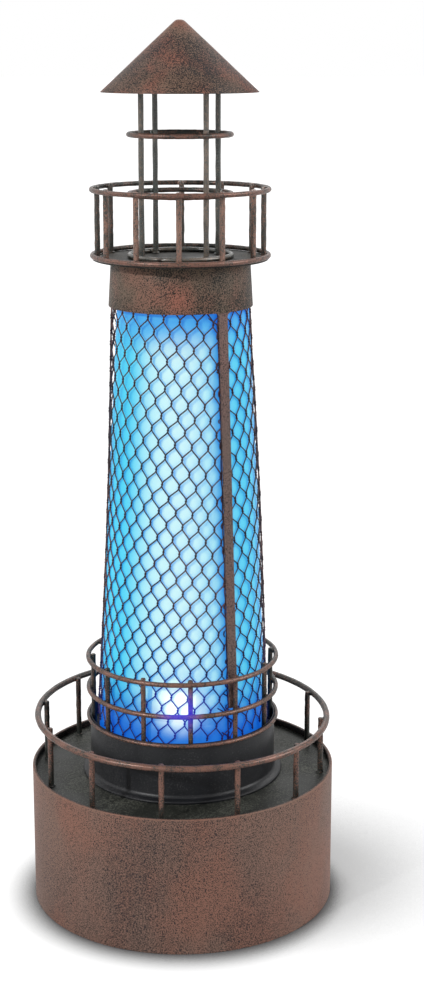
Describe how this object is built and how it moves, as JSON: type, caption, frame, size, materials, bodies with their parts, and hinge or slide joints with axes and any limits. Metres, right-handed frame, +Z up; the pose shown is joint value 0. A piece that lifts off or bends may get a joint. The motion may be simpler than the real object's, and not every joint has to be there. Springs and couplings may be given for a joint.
{
  "type": "garden lighthouse light",
  "caption": "Lighthouse-shaped garden light of welded wire and sheet metal: round base, rails, netting tower over a translucent sleeve, gallery, open lantern and cone roof.",
  "frame": {"origin": "centre of the base drum's foot circle, on the surface it stands on", "axes": "+Z up; -Y is the front that the picture shows; +X is to the right of a viewer at the front"},
  "size_m": [0.254, 0.254, 0.725],
  "materials": {
    "copper_coat": "satin, brown copper coat with black speckle",
    "netting_coat": "satin, dark brown",
    "blue_film": "translucent blue",
    "white_plastic": "matte",
    "board_green": "satin",
    "lamp_lens": "clear",
    "screw_steel": "zinc",
    "grommet_rubber": "matte",
    "lead_jacket": "satin",
    "black_plastic": "fine grain",
    "cell_can": "satin, printed jacket left plain",
    "contact_steel": "nickel"
  },
  "bodies": {
    "lighthouse": {"base_drum": "copper_coat", "base_deck": "copper_coat", "plinth_drum": "copper_coat", "plinth_deck": "copper_coat", "collar": "copper_coat", "gallery_deck": "copper_coat", "roof_cone": "copper_coat", "outer_rail_posts": "copper_coat", "outer_rail_ring": "copper_coat", "plinth_rim_wire": "copper_coat", "inner_rail_posts": "copper_coat", "inner_rail_low_ring": "copper_coat", "inner_rail_top_ring": "copper_coat", "gallery_rim_wire": "copper_coat", "gallery_rail_posts": "copper_coat", "gallery_rail_ring": "copper_coat", "lantern_posts": "copper_coat", "lantern_foot_ring": "copper_coat", "lantern_middle_ring": "copper_coat", "lantern_top_ring": "copper_coat", "tower_legs": "copper_coat", "tower_netting": "netting_coat", "light_sleeve": "blue_film", "lamp_holder": "white_plastic", "led_board": "board_green", "led_lamps": "lamp_lens", "lamp_screws": "screw_steel", "deck_grommet": "grommet_rubber", "plinth_grommet": "grommet_rubber", "lead_wires": "lead_jacket", "battery_box": "black_plastic", "battery_cells": "cell_can", "cell_contacts": "contact_steel", "switch_body": "black_plastic", "box_screws": "screw_steel"},
    "battery_cover": {"battery_cover": "black_plastic"},
    "switch_knob": {"switch_knob": "black_plastic"}
  },
  "joints": [
    {"name": "cover_slide", "type": "slide", "parent": "lighthouse", "child": "battery_cover", "axis": [1, 0, 0], "range_m": [0, 0.048]},
    {"name": "switch_slide", "type": "slide", "parent": "lighthouse", "child": "switch_knob", "axis": [1, 0, 0], "range_m": [0, 0.004]}
  ]
}
